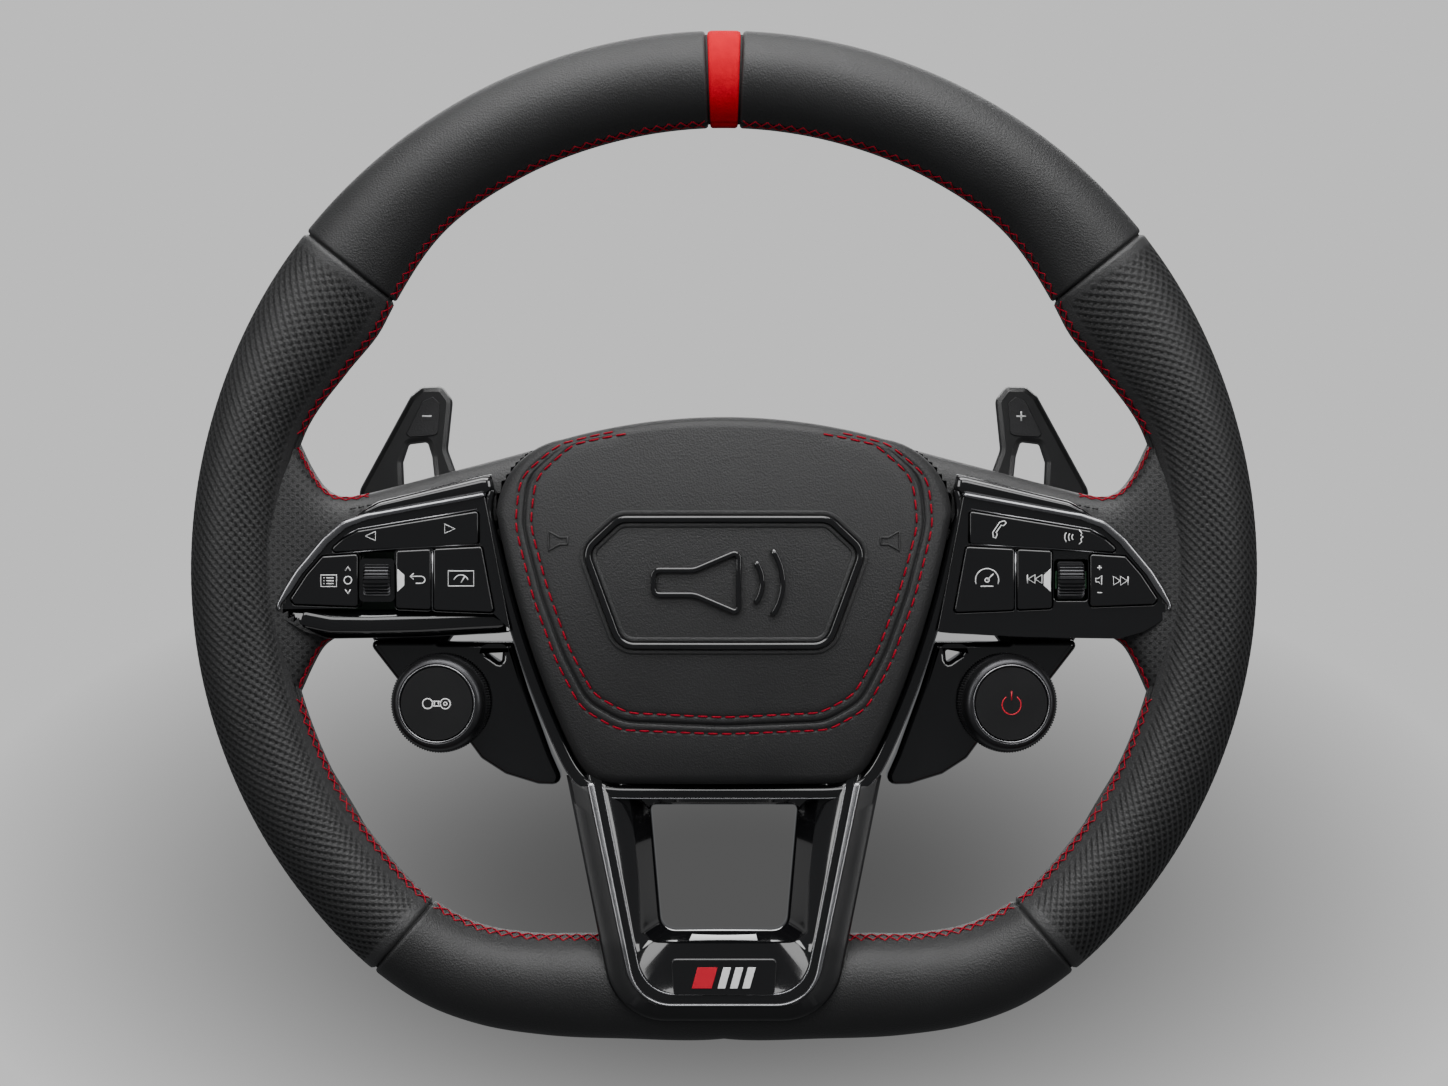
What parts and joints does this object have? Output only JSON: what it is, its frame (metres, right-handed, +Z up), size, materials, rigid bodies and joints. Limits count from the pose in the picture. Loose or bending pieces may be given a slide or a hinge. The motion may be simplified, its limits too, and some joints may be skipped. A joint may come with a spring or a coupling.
{
  "type": "quick release steering wheel",
  "caption": "Flat-bottomed leather sports steering wheel with horn pad, thumb switches, shift paddles, rotary knobs and a ball-lock quick release hub behind.",
  "frame": {"origin": "centre of the quick release socket's mouth, on the steering axis", "axes": "+X to the driver's right, +Z up, +Y away from the driver along the steering axis, so the face points along -Y"},
  "size_m": [0.3696, 0.1056, 0.3496],
  "materials": {
    "armature_metal": "die-cast magnesium, bead blasted",
    "foam": "moulded polyurethane foam",
    "leather": "smooth black leather",
    "perforated_leather": "perforated black leather",
    "marker_leather": "smooth red leather",
    "machined_metal": "turned and milled",
    "anodised_metal": "black anodised",
    "steel": "zinc plated",
    "polished_steel": "hardened and polished",
    "gloss_black": "piano black",
    "matte_black": "fine grained moulding",
    "button_black": "satin moulding with light symbols",
    "satin_metal": "satin",
    "dark_metal": "dark anodised, knurled",
    "board": "printed circuit board",
    "airbag_fabric": "folded woven nylon"
  },
  "bodies": {
    "wheel": {"armature": "armature_metal", "rim_foam": "foam", "leather_top_left": "leather", "leather_top_right": "leather", "leather_grip_left": "perforated_leather", "leather_grip_right": "perforated_leather", "leather_bottom": "leather", "centre_marker": "marker_leather", "qr_body": "machined_metal", "qr_retaining_ring": "steel", "qr_screws": "steel", "horn_guide_pins": "steel", "horn_springs": "steel", "hub_bezel": "gloss_black", "back_cover": "matte_black", "back_cover_screws": "steel", "lower_trim": "gloss_black", "lower_trim_inlay": "satin_metal", "badge_plate": "satin_metal", "lower_spoke_back": "matte_black", "spoke_cover_left": "leather", "spoke_cover_right": "leather", "switch_bezel_left": "gloss_black", "switch_bezel_right": "gloss_black", "bezel_strips": "satin_metal", "switch_boards": "board", "paddle_pins": "steel", "paddle_brackets": "armature_metal", "paddle_switches": "matte_black", "satellite_left": "gloss_black", "satellite_right": "gloss_black"},
    "horn_pad": {"pad_cover": "leather", "pad_bead": "gloss_black", "pad_symbol": "satin_metal", "airbag_housing": "matte_black", "airbag_cushion": "airbag_fabric", "inflator": "steel", "module_nuts": "steel"},
    "collar": {"qr_collar": "anodised_metal", "qr_spring": "steel"},
    "left_paddle": {"paddle_left": "matte_black"},
    "left_rocker": {"rocker_left": "button_black"},
    "left_roller": {"roller_left": "satin_metal"},
    "left_hub_button": {"button_hub_left": "button_black"},
    "left_inner_button": {"button_inner_left": "button_black"},
    "left_outer_button": {"button_outer_left": "button_black"},
    "left_knob_ring": {"knob_ring_left": "dark_metal"},
    "left_knob_cap": {"knob_cap_left": "button_black"},
    "right_paddle": {"paddle_right": "matte_black"},
    "right_rocker": {"rocker_right": "button_black"},
    "right_roller": {"roller_right": "satin_metal"},
    "right_hub_button": {"button_hub_right": "button_black"},
    "right_inner_button": {"button_inner_right": "button_black"},
    "right_outer_button": {"button_outer_right": "button_black"},
    "right_knob_ring": {"knob_ring_right": "dark_metal"},
    "right_knob_cap": {"knob_cap_right": "button_black"},
    "ball_1": {"qr_ball_1": "polished_steel"},
    "ball_2": {"qr_ball_2": "polished_steel"},
    "ball_3": {"qr_ball_3": "polished_steel"}
  },
  "joints": [
    {"name": "left_paddle_pull", "type": "hinge", "parent": "wheel", "child": "left_paddle", "pos_m": [-0.06, -0.0495, 0], "axis": [0, 0, 1], "range_deg": [0, 5], "stiffness_Nm_per_rad": 3, "springref_deg": -2.86},
    {"name": "left_rocker_tilt", "type": "hinge", "parent": "wheel", "child": "left_rocker", "pos_m": [-0.108, -0.084, 0.01], "axis": [0, 0, 1], "range_deg": [-1.5, 1.5], "stiffness_Nm_per_rad": 0.5},
    {"name": "left_roller_spin", "type": "hinge", "parent": "wheel", "child": "left_roller", "pos_m": [-0.1195, -0.0854, -0.0054], "axis": [1, 0, 0], "continuous": true},
    {"name": "left_hub_button_press", "type": "slide", "parent": "wheel", "child": "left_hub_button", "axis": [0, 1, 0], "range_m": [0, 0.0012], "stiffness_N_per_m": 1500, "springref_m": -0.0006},
    {"name": "left_inner_button_press", "type": "slide", "parent": "wheel", "child": "left_inner_button", "axis": [0, 1, 0], "range_m": [0, 0.0012], "stiffness_N_per_m": 1500, "springref_m": -0.0006},
    {"name": "left_outer_button_press", "type": "slide", "parent": "wheel", "child": "left_outer_button", "axis": [0, 1, 0], "range_m": [0, 0.0012], "stiffness_N_per_m": 1500, "springref_m": -0.0006},
    {"name": "left_knob_turn", "type": "hinge", "parent": "wheel", "child": "left_knob_ring", "pos_m": [-0.0976, -0.08, -0.0479], "axis": [-0.1219, -0.9925, 0], "continuous": true},
    {"name": "left_knob_press", "type": "slide", "parent": "left_knob_ring", "child": "left_knob_cap", "axis": [0.1219, 0.9925, 0], "range_m": [0, 0.0015], "stiffness_N_per_m": 2000, "springref_m": -0.0006},
    {"name": "right_paddle_pull", "type": "hinge", "parent": "wheel", "child": "right_paddle", "pos_m": [0.06, -0.0495, 0], "axis": [0, 0, -1], "range_deg": [0, 5], "stiffness_Nm_per_rad": 3, "springref_deg": -2.86},
    {"name": "right_rocker_tilt", "type": "hinge", "parent": "wheel", "child": "right_rocker", "pos_m": [0.108, -0.084, 0.01], "axis": [0, 0, 1], "range_deg": [-1.5, 1.5], "stiffness_Nm_per_rad": 0.5},
    {"name": "right_roller_spin", "type": "hinge", "parent": "wheel", "child": "right_roller", "pos_m": [0.1195, -0.0854, -0.0054], "axis": [1, 0, 0], "continuous": true},
    {"name": "right_hub_button_press", "type": "slide", "parent": "wheel", "child": "right_hub_button", "axis": [0, 1, 0], "range_m": [0, 0.0012], "stiffness_N_per_m": 1500, "springref_m": -0.0006},
    {"name": "right_inner_button_press", "type": "slide", "parent": "wheel", "child": "right_inner_button", "axis": [0, 1, 0], "range_m": [0, 0.0012], "stiffness_N_per_m": 1500, "springref_m": -0.0006},
    {"name": "right_outer_button_press", "type": "slide", "parent": "wheel", "child": "right_outer_button", "axis": [0, 1, 0], "range_m": [0, 0.0012], "stiffness_N_per_m": 1500, "springref_m": -0.0006},
    {"name": "right_knob_turn", "type": "hinge", "parent": "wheel", "child": "right_knob_ring", "pos_m": [0.0976, -0.08, -0.0479], "axis": [0.1219, -0.9925, 0], "continuous": true},
    {"name": "right_knob_press", "type": "slide", "parent": "right_knob_ring", "child": "right_knob_cap", "axis": [-0.1219, 0.9925, 0], "range_m": [0, 0.0015], "stiffness_N_per_m": 2000, "springref_m": -0.0006},
    {"name": "horn_press", "type": "slide", "parent": "wheel", "child": "horn_pad", "axis": [0, 1, 0], "range_m": [0, 0.0025], "stiffness_N_per_m": 12000, "springref_m": -0.002, "deforming": ["horn_springs"]},
    {"name": "collar_slide", "type": "slide", "parent": "wheel", "child": "collar", "axis": [0, -1, 0], "range_m": [0, 0.006], "stiffness_N_per_m": 3000, "springref_m": -0.004, "deforming": ["qr_spring"]},
    {"name": "ball_1_release", "type": "slide", "parent": "wheel", "child": "ball_1", "axis": [0, 0, 1], "range_m": [0, 0.0013]},
    {"name": "ball_2_release", "type": "slide", "parent": "wheel", "child": "ball_2", "axis": [-0.866, 0, -0.5], "range_m": [0, 0.0013]},
    {"name": "ball_3_release", "type": "slide", "parent": "wheel", "child": "ball_3", "axis": [0.866, 0, -0.5], "range_m": [0, 0.0013]}
  ],
  "couplings": [
    {"joint": "ball_1_release", "follows": "collar_slide", "ratio": 0.2166},
    {"joint": "ball_2_release", "follows": "collar_slide", "ratio": 0.2166},
    {"joint": "ball_3_release", "follows": "collar_slide", "ratio": 0.2166}
  ]
}
